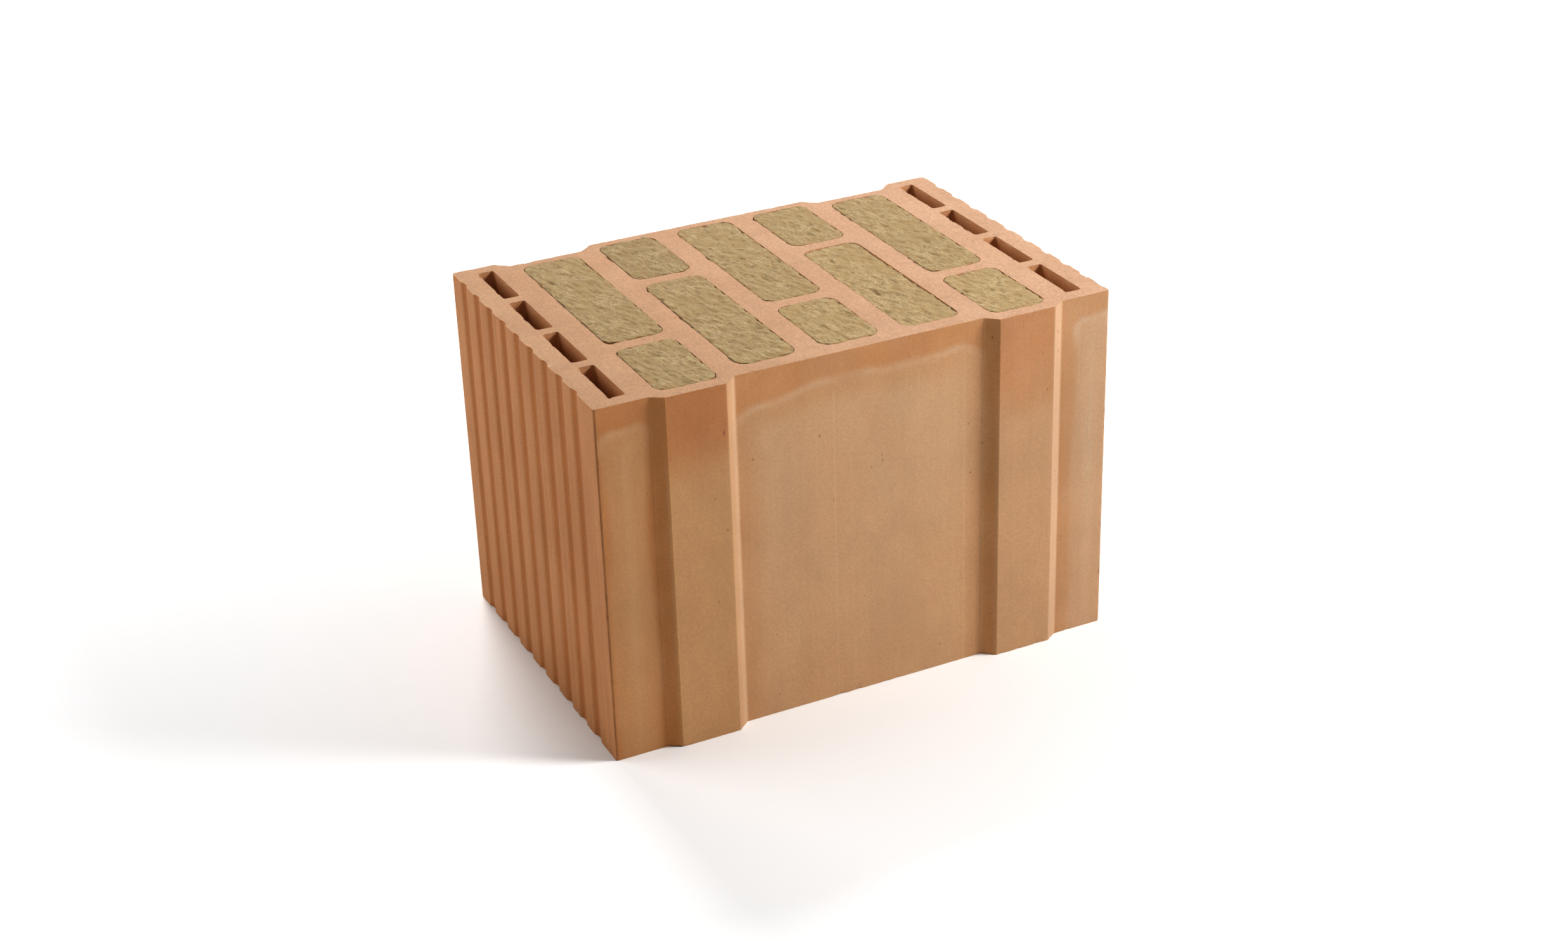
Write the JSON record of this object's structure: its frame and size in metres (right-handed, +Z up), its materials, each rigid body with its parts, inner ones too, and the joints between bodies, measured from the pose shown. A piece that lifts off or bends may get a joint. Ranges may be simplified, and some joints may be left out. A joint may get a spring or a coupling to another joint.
{
  "type": "hollow clay block",
  "caption": "Fired clay wall block with staggered wool-filled cells, rows of open slots, tongue and groove ends and grooved plaster faces.",
  "frame": {"origin": "middle of the base of the block, with the tongues counted in, on the floor", "axes": "+X through the wall from the left plaster face to the right one, +Y along the wall from the tongues to the grooves, +Z up"},
  "size_m": [0.365, 0.2524, 0.249],
  "materials": {
    "clay": "matt fired clay, ground bed faces",
    "wool": "matt fibrous mineral wool"
  },
  "bodies": {
    "root": {"clay_block": "clay", "wool_pad_long_1": "wool", "wool_pad_short_1": "wool", "wool_pad_long_2": "wool", "wool_pad_short_2": "wool", "wool_pad_long_3": "wool", "wool_pad_short_3": "wool", "wool_pad_long_4": "wool", "wool_pad_short_4": "wool", "wool_pad_long_5": "wool", "wool_pad_short_5": "wool"}
  },
  "joints": []
}
